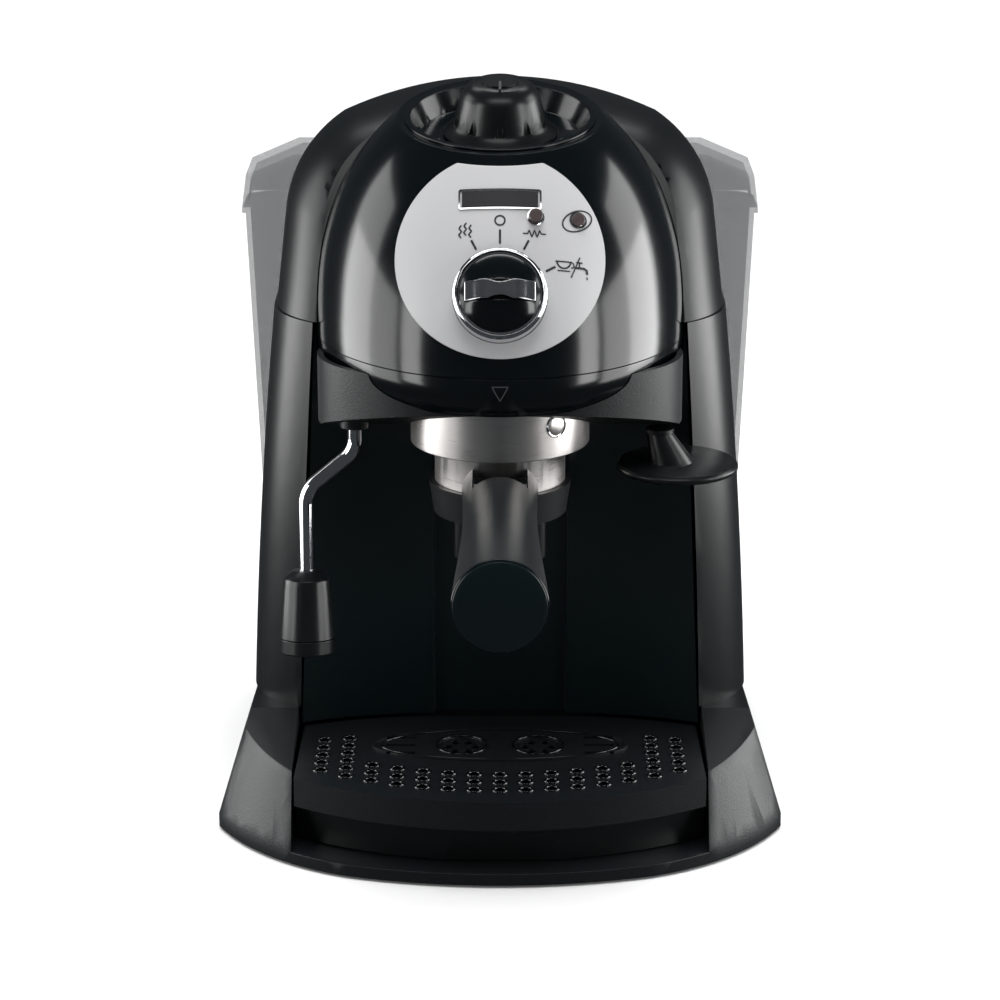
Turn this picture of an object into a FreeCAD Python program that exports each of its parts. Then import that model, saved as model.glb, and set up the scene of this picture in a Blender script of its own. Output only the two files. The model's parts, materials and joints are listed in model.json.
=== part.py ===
import FreeCAD, Part
import math
import os

import Sketcher
from FreeCAD import Placement, Rotation, Vector

# Espresso machine. Millimetres, X to the right, Y to the rear, Z up.
# The origin lies on the counter, on the machine's middle line, under the front of its rear body.

SIZES = {
    # general
    "wall": 3,
    "thin_wall": 2,
    "fit_gap": 0.3,
    # base
    "base_half_width": 115.5,
    "base_front": 120.5,
    "base_rear": 125,
    "base_nose_radius": 200,
    "base_nose_turn": 17.5,
    "base_corner_radius": 100,
    "base_corner_front": 60,
    "base_rear_radius": 14,
    "base_rear_taper": 6,
    "base_bottom": 1,
    "base_foot_band": 7,
    "deck_height": 44,
    "base_inset": 19,
    "base_top_half_width": 104,
    "slope_start": 36,
    "slope_end": 84,
    "slope_drop": 10,
    "bay_half_width": 83.6,
    "bay_floor": 6,
    "bay_back": 15,
    "foot_radius": 9,
    "foot_height": 2,
    # drip tray and grid
    "tray_clearance": 1.2,
    "tray_front": 109,
    "grid_front": 118,
    "grid_top": 35.3,
    "grid_thickness": 2,
    "grid_lip_height": 12,
    "grid_arc_radius": 145,
    "grid_side_taper": 1.2,
    "grid_hole_radius": 2.2,
    "grid_pitch_across": 10.3,
    "grid_pitch_deep": 8.2,
    "cup_oval_half_length": 52.5,
    "cup_oval_half_depth": 18.5,
    "cup_dish_radius": 10,
    "cup_dish_offset": 15.6,
    "cup_centre": 56,
    # rear body
    "body_front": 35,
    "body_rear": 84,
    "body_rear_radius": 16,
    "body_half_width_low": 103.7,
    "body_half_width_middle": 99.4,
    "body_half_width_seam": 92.5,
    "pillar_edge_low": 82.6,
    "pillar_edge_middle": 79.6,
    "pillar_edge_seam": 75,
    "body_middle_height": 126,
    "seam_height": 208,
    "crest_height": 296,
    "crest_fall": 4,
    "roof_fall": 12,
    "arch_lean": 28.5,
    "arch_shoulder_half_width": 88.3,
    "arch_shoulder_rise": 38,
    "arch_crown_half_width": 64.5,
    "arch_crown_rise": 75,
    "arch_corner_radius": 56,
    "panel_edge_depth": 33,
    "panel_channel_depth": 21.5,
    "panel_channel_step": 2.5,
    "panel_channel_half_width": 27.5,
    "panel_arc_radius": 150,
    # head
    "head_centre": 15,
    "head_profile_radius": 163.6,
    "head_profile_centre_y": 57,
    "head_profile_centre_z": 174,
    "head_rim_height": 186.5,
    "head_seam_height": 203,
    "head_wall": 2.5,
    "head_tuck": 8,
    "underside_half_width": 72.7,
    "underside_half_depth": 49,
    "underside_centre": 46,
    "underside_floor": 172,
    "underside_tuck": 4,
    # control plate and selector
    "plate_radius": 40.5,
    "plate_thickness": 0.8,
    "plate_centre_rise": 16.7,
    "plate_top_drop": 3,
    "dial_y": 97,
    "dial_z": 234.5,
    "dial_tilt": 63,
    "bezel_radius": 18,
    "bezel_width": 1.6,
    "bezel_height": 3.2,
    "dial_radius": 15.4,
    "dial_height": 9,
    "spindle_radius": 3,
    "grip_length": 27,
    "grip_width": 7.5,
    "lamp_radius": 2.6,
    "lamp_near_x": 13.7,
    "lamp_far_x": 30,
    "lamp_rise": 31,
    "lamp_far_depth": 7.2,
    # steam knob
    "knob_y": 25,
    "knob_z": 289.3,
    "knob_tilt": 10,
    "dish_radius": 38,
    "dish_depth": 7,
    "knob_radius": 18.5,
    "knob_top_radius": 15.5,
    "knob_flange_radius": 22.5,
    "knob_flange_height": 3.5,
    "knob_top": 15.3,
    "knob_flutes": 10,
    "knob_flute_radius": 1.6,
    # group and boiler
    "group_y": 56,
    "group_radius": 35.5,
    "group_wall": 2.5,
    "group_bottom": 166,
    "group_top": 190,
    "lug_height": 3,
    "lug_inner_radius": 29.3,
    "lug_angle": 40,
    "boiler_flange_radius": 41,
    "boiler_radius": 31,
    "boiler_split": 198,
    "boiler_top": 214,
    "gasket_thickness": 6,
    # filter holder
    "holder_radius": 26,
    "holder_wall": 2,
    "holder_flange_radius": 28.5,
    "ear_radius": 32.3,
    "ear_angle": 34,
    "holder_top": 172.6,
    "holder_bottom": 138,
    "collar_top": 150,
    "collar_bottom": 137,
    "collar_radius": 28.4,
    "spout_spacing": 14,
    "spout_bottom": 117,
    "handle_end": 191,
    "handle_end_radius": 17.9,
    "handle_neck_half_width": 15,
    "handle_waist_half_width": 14.4,
    "handle_drop": 9.6,
    "window_half_width": 10.8,
    "window_depth": 17,
    "clip_thickness": 3,
    # tamper
    "tamper_x": 70.3,
    "tamper_y": 62,
    "tamper_radius": 24.2,
    "tamper_height": 155,
    "tamper_thickness": 3.5,
    "tamper_stalk_x": 63.2,
    # steam wand
    "wand_x": 57.4,
    "wand_y": 60,
    "wand_radius": 3,
    "wand_reach": 19.8,
    "wand_lean": 8,
    "frother_length": 33.5,
    "frother_top_radius": 9.3,
    "frother_radius": 11.5,
    "frother_ring_height": 6,
    # water tank
    "tank_front": 86,
    "tank_half_width_low": 103,
    "tank_half_width_top": 110.5,
    "tank_rim": 229,
    "tank_bead": 1.5,
    "lid_edge_height": 244,
    "lid_top": 253,
    "lid_flat_half_width": 89,
    "valve_x": 60,
    "valve_y": 104,
    # pump and hoses
    "pump_y": 35,
    "pump_z": 84,
    "pump_radius": 17.5,
    "pump_length": 70,
    "piston_radius": 6,
    "piston_length": 34,
    "piston_travel": 4,
    "hose_radius": 3.4,
    "pipe_radius": 2.2,
}

doc = FreeCAD.newDocument("espresso_machine")
sheet = doc.addObject("Spreadsheet::Sheet", "sizes")
for row, (alias, amount) in enumerate(SIZES.items(), start=1):
    sheet.set(f"A{row}", alias)
    sheet.set(f"B{row}", str(amount))
    sheet.setAlias(f"B{row}", alias)
doc.recompute()


# ---------------------------------------------------------------- sizes and expressions

def number(item):
    """The plain number that a size or a number stands for."""
    return item.value if isinstance(item, Size) else float(item)


def written(item):
    """The expression text that a size or a number stands for."""
    return item.text if isinstance(item, Size) else repr(float(item))


class Size:
    """A number that keeps the sheet expression it came from."""

    def __init__(self, text, value):
        self.text = text
        self.value = float(value)

    def __add__(self, other):
        return Size(f"({self.text} + {written(other)})", self.value + number(other))

    def __radd__(self, other):
        return Size(f"({written(other)} + {self.text})", number(other) + self.value)

    def __sub__(self, other):
        return Size(f"({self.text} - {written(other)})", self.value - number(other))

    def __rsub__(self, other):
        return Size(f"({written(other)} - {self.text})", number(other) - self.value)

    def __mul__(self, other):
        return Size(f"({self.text} * {written(other)})", self.value * number(other))

    def __rmul__(self, other):
        return self * other

    def __truediv__(self, other):
        return Size(f"({self.text} / {written(other)})", self.value / number(other))

    def __neg__(self):
        return Size(f"(0 - {self.text})", -self.value)


class Sheet:
    """The driving sizes by name."""

    def __getattr__(self, alias):
        return Size("sizes." + alias, SIZES[alias])


def sine(angle):
    return Size(f"sin({written(angle)})", math.sin(math.radians(number(angle))))


def cosine(angle):
    return Size(f"cos({written(angle)})", math.cos(math.radians(number(angle))))


def root(item):
    return Size(f"sqrt({written(item)})", math.sqrt(number(item)))


def square(item):
    return item * item


size = Sheet()
TRAY_TOP = size.grid_top - size.grid_thickness - size.fit_gap


# ---------------------------------------------------------------- objects

AXIS_X, AXIS_Y, AXIS_Z = Vector(1, 0, 0), Vector(0, 1, 0), Vector(0, 0, 1)
DIAGONAL = Vector(1, 1, 1)
nodes = []


def bind(item, **values):
    """Set properties, and tie those given as sizes to the sheet."""
    for name, value in values.items():
        setattr(item, name, number(value))
        if isinstance(value, Size):
            item.setExpression(name, value.text)
    return item


def place(item, x=0, y=0, z=0, about=AXIS_Z, angle=0):
    """Put an object at a point, turned about one axis."""
    spot = Vector(number(x), number(y), number(z))
    item.Placement = Placement(spot, Rotation(about, number(angle)))
    for name, value in (("x", x), ("y", y), ("z", z)):
        if isinstance(value, Size):
            item.setExpression(f"Placement.Base.{name}", value.text)
    if isinstance(angle, Size):
        item.setExpression("Placement.Rotation.Angle", angle.text)
    return item


def box(x0, x1, y0, y1, z0, z1):
    item = doc.addObject("Part::Box", "block")
    bind(item, Length=x1 - x0, Width=y1 - y0, Height=z1 - z0)
    return place(item, x0, y0, z0)


def cylinder(radius, z0, z1, x=0, y=0, sector=360):
    item = doc.addObject("Part::Cylinder", "round")
    bind(item, Radius=radius, Height=z1 - z0, Angle=sector)
    return place(item, x, y, z0)


def cut(base, *tools):
    for tool in tools:
        item = doc.addObject("Part::Cut", "cut")
        item.Base, item.Tool = base, tool
        base = item
    return base


def fuse(*items):
    item = doc.addObject("Part::MultiFuse", "union")
    item.Shapes = list(items)
    return item


def common(first, second):
    item = doc.addObject("Part::Common", "overlap")
    item.Base, item.Tool = first, second
    return item


def group(*items):
    item = doc.addObject("Part::Compound", "group")
    item.Links = list(items)
    return item


def carried(item):
    """Wrap a piece that already has a place of its own, so that it can be moved as it lies."""
    return item if item.Placement.isIdentity() else group(item)


def node(label, item):
    """Name a finished sub-part."""
    item.Label = label
    nodes.append(item)
    return item


# ---------------------------------------------------------------- outlines

def draw(sketch, path):
    """Draw a closed outline: each point is (x, y) or (x, y, radius of the arc that arrives there).

    A positive radius turns left on the way, a negative one turns right.
    """
    count = len(path)
    geometry, rules, ties = [], [], []
    for index in range(count):
        start, end = path[index], path[(index + 1) % count]
        first = Vector(number(start[0]), number(start[1]), 0)
        last = Vector(number(end[0]), number(end[1]), 0)
        if len(end) == 2:
            geometry.append(Part.LineSegment(first, last))
            continue
        radius = number(end[2])
        half = (last - first) * 0.5
        bow = abs(radius) - math.sqrt(radius * radius - half.Length ** 2)
        side = Vector(half.y, -half.x, 0).normalize() * math.copysign(bow, radius)
        geometry.append(Part.Arc(first, first + half + side, last))
    sketch.addGeometry(geometry, False)
    ends = []
    for index in range(count):
        # an arc drawn to the right is stored the other way round
        turned = len(path[(index + 1) % count]) == 3 and number(path[(index + 1) % count][2]) < 0
        ends.append((2, 1) if turned else (1, 2))
    for index in range(count):
        following = (index + 1) % count
        rules.append(Sketcher.Constraint("Coincident", index, ends[index][1], following, ends[following][0]))
    for index, point in enumerate(path):
        for kind, value in (("DistanceX", point[0]), ("DistanceY", point[1])):
            ties.append((len(rules), value))
            rules.append(Sketcher.Constraint(kind, -1, 1, index, ends[index][0], number(value)))
        if len(point) == 3:
            ties.append((len(rules), point[2] if number(point[2]) > 0 else 0 - point[2]))
            rules.append(Sketcher.Constraint("Radius", (index - 1) % count, abs(number(point[2]))))
    sketch.addConstraint(rules)
    for index, value in ties:
        if isinstance(value, Size):
            sketch.setExpression(f"Constraints[{index}]", value.text)
    return sketch


def plan(path, z):
    """An outline seen from above, (x, y), at one height."""
    sketch = draw(doc.addObject("Sketcher::SketchObject", "plan"), path)
    return place(sketch, 0, 0, z)


def drawn_out(outline, direction, length):
    """A solid drawn out from a flat outline along one axis."""
    item = doc.addObject("Part::Extrusion", "slab")
    item.Base = outline
    item.DirMode = "Custom"
    item.Dir = direction
    item.Solid = True
    return bind(item, LengthFwd=length)


def raised(path, z0, z1):
    """A plan outline drawn up from z0 to z1."""
    return drawn_out(plan(path, z0), AXIS_Z, z1 - z0)


def across(path, x0, x1):
    """A side outline, (y, z), drawn across from x0 to x1."""
    sketch = draw(doc.addObject("Sketcher::SketchObject", "side"), path)
    place(sketch, x0, 0, 0, DIAGONAL, 120)
    return drawn_out(sketch, AXIS_X, x1 - x0)


def deep(path, y0, y1):
    """A front outline, (x, z), drawn back from y0 to y1."""
    sketch = draw(doc.addObject("Sketcher::SketchObject", "front"), path)
    place(sketch, 0, y0, 0, AXIS_X, 90)
    return drawn_out(sketch, AXIS_Y, y1 - y0)


def oval(half_width, half_depth, y, z):
    """A flat oval outline on the middle line, seen from above."""
    ring = doc.addObject("Part::Ellipse", "oval")
    bind(ring, MajorRadius=half_width, MinorRadius=half_depth)
    return place(ring, 0, y, z)


def loft(sections, straight=False):
    item = doc.addObject("Part::Loft", "loft")
    item.Sections = sections
    item.Solid = True
    item.Ruled = straight
    return item


def turned(name, path):
    """A piece turned about Z from its half outline of (radius, height) points."""
    body = doc.addObject("PartDesign::Body", name)
    plane = [part for part in body.Origin.OriginFeatures if part.Role == "XZ_Plane"][0]
    sketch = body.newObject("Sketcher::SketchObject", "profile")
    sketch.AttachmentSupport = [(plane, "")]
    sketch.MapMode = "FlatFace"
    draw(sketch, path)
    feature = body.newObject("PartDesign::Revolution", "turning")
    feature.Profile = sketch
    feature.ReferenceAxis = (sketch, ["V_Axis"])
    feature.Angle = 360
    return body


def rectangle(r0, r1, z0, z1):
    """The half outline of a plain ring or disc."""
    return [(r0, z0), (r1, z0), (r1, z1), (r0, z1)]


def tube(points, bend, radius):
    """A round rod or hose along straight runs joined by tangent arcs of one bend radius."""
    spots = [Vector(*[number(value) for value in point]) for point in points]
    edges, start = [], spots[0]
    for before, corner, after in zip(spots, spots[1:], spots[2:]):
        back = (before - corner).normalize()
        ahead = (after - corner).normalize()
        half_turn = (math.pi - back.getAngle(ahead)) / 2
        trim = number(bend) * math.tan(half_turn)
        middle = (back + ahead).normalize() * number(bend) * (1 / math.cos(half_turn) - 1)
        edges.append(Part.makeLine(start, corner + back * trim))
        edges.append(Part.Arc(corner + back * trim, corner + middle, corner + ahead * trim).toShape())
        start = corner + ahead * trim
    edges.append(Part.makeLine(start, spots[-1]))
    spine = doc.addObject("Part::Feature", "spine")
    spine.Shape = Part.Wire(edges)
    ring = bind(doc.addObject("Part::Circle", "ring"), Radius=radius)
    aim = Rotation(AXIS_Z, spots[1] - spots[0])
    ring.Placement = Placement(spots[0], aim)
    item = doc.addObject("Part::Sweep", "tube")
    item.Sections = [ring]
    item.Spine = (spine, [f"Edge{index + 1}" for index in range(len(edges))])
    item.Solid = True
    return item


def turned_about(item, x, y, z, tilt):
    """Lay a piece drawn about Z on a tilted seat: the tilt leans its top forward."""
    return place(carried(item), x, y, z, AXIS_X, tilt)


def on_dial(item):
    """Put a piece drawn about Z on the selector's axis."""
    return turned_about(item, 0, -size.dial_y, size.dial_z, size.dial_tilt)


def on_knob(item):
    """Put a piece drawn about Z on the steam knob's axis."""
    return turned_about(item, 0, -size.knob_y, size.knob_z, size.knob_tilt)


def on_group(item):
    """Put a piece drawn about Z on the brewing axis."""
    return place(carried(item), 0, -size.group_y, 0)


# ---------------------------------------------------------------- base

def base_outline(inset, half_width):
    """The base seen from above: a shallow nose, two round corners and a straight rear."""
    nose_middle = size.base_nose_radius - size.base_front
    nose_radius = size.base_nose_radius - inset
    nose_x = nose_radius * sine(size.base_nose_turn)
    nose_y = nose_middle - nose_radius * cosine(size.base_nose_turn)
    corner_y = inset * 0.6 - size.base_corner_front
    corner_radius = size.base_corner_radius - inset
    rear_x = half_width - size.base_rear_taper
    rear_y = size.base_rear
    rear_radius = size.base_rear_radius
    return [
        (-nose_x, nose_y, corner_radius),
        (nose_x, nose_y, nose_radius),
        (half_width, corner_y, corner_radius),
        (rear_x, rear_y - rear_radius),
        (rear_x - rear_radius, rear_y, rear_radius),
        (rear_radius - rear_x, rear_y),
        (-rear_x, rear_y - rear_radius, rear_radius),
        (-half_width, corner_y),
    ]


def base_block(shrink, bottom, top):
    """The base's outer form, shrunk by a wall, between two heights."""
    wide = size.base_half_width - shrink
    narrow = size.base_top_half_width - shrink
    sections = [
        plan(trimmed_rear(base_outline(shrink, wide), shrink), bottom),
        plan(trimmed_rear(base_outline(shrink, wide), shrink), size.base_foot_band),
        plan(trimmed_rear(base_outline(shrink + size.base_inset, narrow), shrink), top),
    ]
    return loft(sections, straight=True)


def trimmed_rear(path, shrink):
    """Move the rear edge of a base outline in by the same wall."""
    moved = []
    for index, point in enumerate(path):
        moved.append((point[0], point[1] - shrink, *point[2:]) if 3 <= index <= 6 else point)
    return moved


def slope_wedge(drop):
    """What is taken off above the two front wings, lowered by a wall for the hollow inside."""
    top, over = size.deck_height, 60
    fall = size.slope_drop / (size.slope_end - size.slope_start)
    far = 140
    return across([
        (-size.slope_start, top - drop),
        (-size.slope_start, top + over),
        (-far, top + over),
        (-far, top - drop - fall * (far - size.slope_start)),
    ], -size.base_half_width - 10, size.base_half_width + 10)


def make_base():
    wall, liner = size.wall, size.thin_wall
    bay = box(-size.bay_half_width, size.bay_half_width, -150, -size.bay_back,
              size.bay_floor, size.deck_height + 60)
    liner_block = box(-size.bay_half_width - liner, size.bay_half_width + liner, -150,
                      liner - size.bay_back, size.bay_floor - liner, size.deck_height + 60)
    outer = base_block(0, size.base_bottom, size.deck_height)
    hollow = base_block(wall, size.base_bottom - 1, size.deck_height - wall)
    hollow = cut(hollow, liner_block, slope_wedge(wall))
    socket_hole = cylinder(size.hose_radius * 2.6, 30, 60, size.valve_x, size.valve_y)
    hose_hole = cylinder(size.hose_radius + 1, 30, 60, size.valve_x, size.pump_y)
    gland_hole = place(cylinder(5.2, 0, 20), -70, size.base_rear + 5, 24, AXIS_X, 90)
    node("base_skirt", cut(outer, hollow, bay, slope_wedge(0), socket_hole, hose_hole, gland_hole))

    # the bottom cover lies inside the skirt and carries the feet and the pump's hose
    margin = wall + size.fit_gap
    cover = raised(trimmed_rear(base_outline(margin, size.base_half_width - margin), margin),
                   size.foot_height, size.foot_height + 1.8)
    spots = [(x, y) for x in (-88, 88) for y in (-52, 100)]
    holes = [cylinder(2.2, 0, 10, x, y) for x, y in spots]
    node("base_plate", cut(cover, *holes))
    feet = []
    for x, y in spots:
        pad = cylinder(size.foot_radius, 0, size.foot_height, x, y)
        feet.append(cut(pad, cylinder(3.6, 0, size.foot_height - 0.8, x, y), cylinder(2.2, 0, 10, x, y)))
    node("rubber_feet", group(*feet))
    screws = []
    for x, y in spots:
        head = cylinder(3.3, 0.3, size.foot_height - 0.8, x, y)
        screws.append(fuse(head, cylinder(1.9, size.foot_height - 0.8, 10, x, y)))
    node("base_screws", group(*screws))


# ---------------------------------------------------------------- drip tray and grid

def panel_front(edge_x, clearance):
    """The splash panel's front, from left to right: two hollow wings and a recessed channel."""
    channel = size.panel_channel_half_width
    step_y = clearance + size.panel_channel_depth
    return [
        (-edge_x, -size.panel_edge_depth - clearance),
        (-channel, -step_y, -size.panel_arc_radius),
        (0.5 - channel, size.panel_channel_step - step_y),
        (channel - 0.5, size.panel_channel_step - step_y),
        (channel, -step_y),
        (edge_x, -size.panel_edge_depth - clearance, -size.panel_arc_radius),
    ]


def tray_outline(shrink):
    side = size.bay_half_width - size.tray_clearance - shrink
    back = shrink + size.bay_back + size.tray_clearance
    radius = size.grid_arc_radius
    sag = radius - root(square(radius) - square(side))
    front = shrink - size.tray_front + sag
    return [(-side, front), (side, front, radius), (side, -back), (-side, -back)]


def grid_outline(shrink, clearance):
    """The grid from above: a round front, a back that follows the splash panel, slightly tapered sides."""
    side = size.bay_half_width - size.tray_clearance - shrink
    radius = size.grid_arc_radius
    sag = radius - root(square(radius) - square(side))
    front = shrink - size.grid_front + sag
    channel = size.panel_channel_half_width
    edge_y = size.panel_edge_depth + clearance
    channel_y = size.panel_channel_depth + clearance
    return [
        (-side, front),
        (side, front, radius),
        (side - size.grid_side_taper, -edge_y),
        (channel, -channel_y, size.panel_arc_radius),
        (-channel, -channel_y),
        (size.grid_side_taper - side, -edge_y, size.panel_arc_radius),
    ]


def make_tray():
    floor = size.bay_floor + 0.4
    shell = raised(tray_outline(0), floor, TRAY_TOP)
    inside = raised(tray_outline(size.thin_wall), floor + size.thin_wall, TRAY_TOP + 10)
    grip_cut = box(-26, 26, -size.tray_front - 30, -size.tray_front + 1.2, floor - 1, floor + 12)
    node("drip_tray", cut(shell, inside, grip_cut))


def grid_holes():
    """Rows of drain holes that follow the grid's front edge, outside the cup oval."""
    holes, pitch = [], size.grid_pitch_across
    top = size.grid_top
    for column in range(-7, 8):
        rows = 5 if abs(column) == 7 else 6 if abs(column) == 6 else 3
        x = pitch * column
        radius = size.grid_arc_radius - 13
        sag = radius - root(square(radius) - square(x))
        for line in range(rows):
            y = sag + size.grid_pitch_deep * line - size.grid_front + 13
            holes.append(cylinder(size.grid_hole_radius, top - 12, top + 5, x, y))
    return holes


def make_grid():
    top, thick = size.grid_top, size.grid_thickness
    plate = raised(grid_outline(0, 1), top - thick, top)
    lip_front = raised(grid_outline(0, 1), top - size.grid_lip_height, top - thick)
    lip_cut = raised(grid_outline(size.thin_wall, 1), top - size.grid_lip_height - 1, top - thick)
    back_cut = box(-120, 120, -size.grid_front + 32, 10, 0, top - thick)
    drawer_room = raised(tray_outline(-0.6), 0, TRAY_TOP + size.fit_gap)
    ovals = []
    for inset in (0, 1.2):
        half_length = size.cup_oval_half_length - inset
        half_depth = size.cup_oval_half_depth - inset
        ovals.append(drawn_out(oval(half_length, half_depth, -size.cup_centre, top), AXIS_Z, 0.7))
    rib = cut(*ovals)
    dishes, tools = [], grid_holes()
    for side in (-1, 1):
        dish_x = size.cup_dish_offset * side
        dishes.append(cylinder(size.cup_dish_radius, top - 0.7, top + 5, dish_x, -size.cup_centre))
        for spoke in range(6):
            turn = math.radians(60 * spoke)
            reach = size.cup_dish_radius * 0.55
            tools.append(cylinder(size.grid_hole_radius, top - 12, top + 5,
                                  dish_x + reach * math.cos(turn), reach * math.sin(turn) - size.cup_centre))
        for step in (-1, 0, 1):
            slot_x = (size.cup_oval_half_length - 12) * side
            slot_y = step * 8.5 - size.cup_centre
            tools.append(box(slot_x - 6, slot_x + 6, slot_y - 1.2, slot_y + 1.2, top - 12, top + 5))
    lip = cut(lip_front, lip_cut, back_cut, drawer_room)
    node("drip_grid", cut(fuse(plate, lip, rib), *dishes, group(*tools)))


# ---------------------------------------------------------------- rear body

def body_outline(half_width, edge_x, shrink, reach):
    """The rear body from above: open front between the pillars, rounded pillars, round rear."""
    wide = half_width - shrink
    rise = half_width - edge_x
    front = size.body_front
    radius = (square(rise) + square(front)) / (rise * 2)
    rear_y = size.body_rear - shrink
    rear_radius = size.body_rear_radius - shrink
    return [
        (-edge_x + shrink, -front - reach),
        (edge_x - shrink, -front - reach),
        (edge_x - shrink + 0.01, -front + shrink * 0.4),
        (wide, 0, radius),
        (wide, rear_y - rear_radius),
        (wide - rear_radius, rear_y, rear_radius),
        (rear_radius - wide, rear_y),
        (-wide, rear_y - rear_radius, rear_radius),
        (-wide, 0),
        (-edge_x + shrink - 0.01, -front + shrink * 0.4, radius),
    ]


def body_loft(shrink, reach, bottom, top):
    stations = [
        (size.body_half_width_low, size.pillar_edge_low, bottom),
        (size.body_half_width_middle, size.pillar_edge_middle, size.body_middle_height),
        (size.body_half_width_seam, size.pillar_edge_seam, top),
    ]
    return loft([plan(body_outline(wide, edge, shrink, reach), z) for wide, edge, z in stations])


def panel_block(depth, clearance, bottom, top):
    """Everything from the splash panel's front back to a depth, for the panel and for cuts."""
    sections = []
    for edge, z in ((size.pillar_edge_low, bottom), (size.pillar_edge_seam, top)):
        edge = edge - size.fit_gap
        sections.append(plan(panel_front(edge, clearance) + [(edge, depth), (-edge, depth)], z))
    return loft(sections, straight=True)


def make_side_housing(head_clear):
    outer = body_loft(0, 0.1, size.deck_height, size.seam_height)
    inner = body_loft(size.wall, 6, size.deck_height - 1, size.seam_height + 1)
    stations = [
        (size.pillar_edge_low, size.deck_height - 1),
        (size.pillar_edge_middle, size.body_middle_height),
        (size.pillar_edge_seam, size.seam_height + 1),
    ]
    opening = [plan([(-edge, -60), (edge, -60), (edge, -20), (-edge, -20)], z) for edge, z in stations]
    node("side_housing", cut(outer, inner, loft(opening), head_clear))


def arch_outline(inset, wall):
    """The top cover's arch in its leaning plane: (x, height along the plane above the seam).

    The inset narrows the arch fully at its feet, by half at the crown and hardly at the crest.
    """
    lean = cosine(size.arch_lean)
    foot_x = size.body_half_width_seam - inset - wall
    shoulder_x = size.arch_shoulder_half_width - inset - wall
    shoulder_v = size.arch_shoulder_rise / lean
    crown_x = size.arch_crown_half_width - inset * 0.55 - wall * 0.43
    crown_v = (size.arch_crown_rise - inset * 0.45 - wall * 0.9) / lean
    crest_v = (size.crest_height - size.seam_height - inset * 0.1 - wall) / lean
    sag = crest_v - crown_v
    crest_radius = (square(crown_x) + square(sag)) / (sag * 2)
    corner_radius = size.arch_corner_radius - inset * 0.5 - wall
    return [
        (-foot_x, -10),
        (foot_x, -10),
        (shoulder_x, shoulder_v),
        (crown_x, crown_v, corner_radius),
        (-crown_x, crown_v, crest_radius),
        (-shoulder_x, shoulder_v, corner_radius),
    ]


def arch_section(inset, shift, wall, drop=0):
    sketch = draw(doc.addObject("Sketcher::SketchObject", "arch"), arch_outline(inset, wall))
    return place(sketch, 0, shift, size.seam_height - drop, AXIS_X, 90 - size.arch_lean)


def arch_solid(shrink):
    """The arch from its narrow front edge, swelling to full width, then back with a falling roof."""
    rise = size.body_half_width_seam - size.pillar_edge_seam
    front = size.body_front
    radius = (square(rise) + square(front)) / (rise * 2)
    sections = []
    for share in (1, 0.8, 0.55, 0.25, 0):
        setback = front * share
        inset = radius - root(square(radius) - square(setback))
        drop = (front - setback) * sine(size.crest_fall) / cosine(size.crest_fall)
        sections.append(arch_section(inset, shrink - setback, shrink, drop))
    fall = math.radians(SIZES["roof_fall"])
    backwards = Vector(0, math.cos(fall), -math.sin(fall))
    return fuse(loft(sections), drawn_out(sections[-1], backwards, size.body_rear + 60))


def roof_keep(shrink, bottom):
    """The rear body's plan above the seam, with its round rear corners, shrunk by a wall."""
    wide, rear = size.body_half_width_seam - shrink, size.body_rear - shrink
    radius = size.body_rear_radius - shrink
    return raised([
        (-wide, -60), (wide, -60), (wide, rear - radius), (wide - radius, rear, radius),
        (radius - wide, rear), (-wide, rear - radius, radius)], bottom, size.crest_height + 20)


def make_top_cover(head_clear):
    keep = roof_keep(0, size.seam_height + 0.2)
    keep_inside = roof_keep(size.wall, size.seam_height - 5)
    front_room = arch_section(size.body_half_width_seam - size.pillar_edge_seam, -60, size.wall)
    opening = drawn_out(front_room, AXIS_Y, 60)
    shell = cut(common(arch_solid(0), keep), common(arch_solid(size.wall), keep_inside), opening)
    node("top_cover", cut(shell, head_clear))


def make_splash_panel():
    bottom, top = size.grid_top + 1, size.head_seam_height
    skin = size.thin_wall + 0.5
    front = panel_block(-8, 0, bottom, top)
    behind = panel_block(10, -skin, bottom, top)
    node("splash_panel", cut(front, behind, head_loft(size.fit_gap)))


# ---------------------------------------------------------------- head

# heights of the head's sections, with each half width, and the front where the rim tucks under
HEAD_SECTIONS = [
    (186.5, 64.0, -98.5),
    (190.0, 69.5, -102.2),
    (196.0, 73.8, -104.8),
    (203.0, 75.0, None),
    (215.0, 74.5, None),
    (235.0, 71.8, None),
    (250.0, 67.8, None),
    (267.0, 60.3, None),
    (282.0, 49.3, None),
    (293.0, 37.5, None),
    (303.0, 25.0, None),
]


def head_loft(grow):
    """The domed head as a stack of ellipses whose fronts lie on one round profile."""
    rings = []
    base_z = number(size.head_rim_height)
    for height, half_width, front in HEAD_SECTIONS:
        z = size.head_rim_height + (height - base_z)
        rise = z - size.head_profile_centre_z
        if front is None:
            front = size.head_profile_centre_y - root(square(size.head_profile_radius) - square(rise))
        ring = doc.addObject("Part::Ellipse", "ring")
        centre = -size.head_centre
        bind(ring, MajorRadius=centre - front + grow, MinorRadius=half_width + grow)
        ring.Placement = Placement(Vector(0, 0, 0), Rotation(AXIS_Z, 90))
        ring.setExpression("Placement.Base.y", centre.text)
        ring.setExpression("Placement.Base.z", z.text)
        rings.append(ring)
    return loft(rings)


def behind_arch(setback):
    """Everything in front of the arch's leaning edge, moved back by a setback."""
    foot_y = setback - size.body_front
    top_rise = size.crest_height + 30 - size.seam_height
    top_y = foot_y + top_rise * sine(size.arch_lean) / cosine(size.arch_lean)
    top_z = size.seam_height + top_rise
    return across([(-150, 100), (foot_y, 100), (foot_y, size.seam_height), (top_y, top_z), (-150, top_z)],
                  -120, 120)


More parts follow.
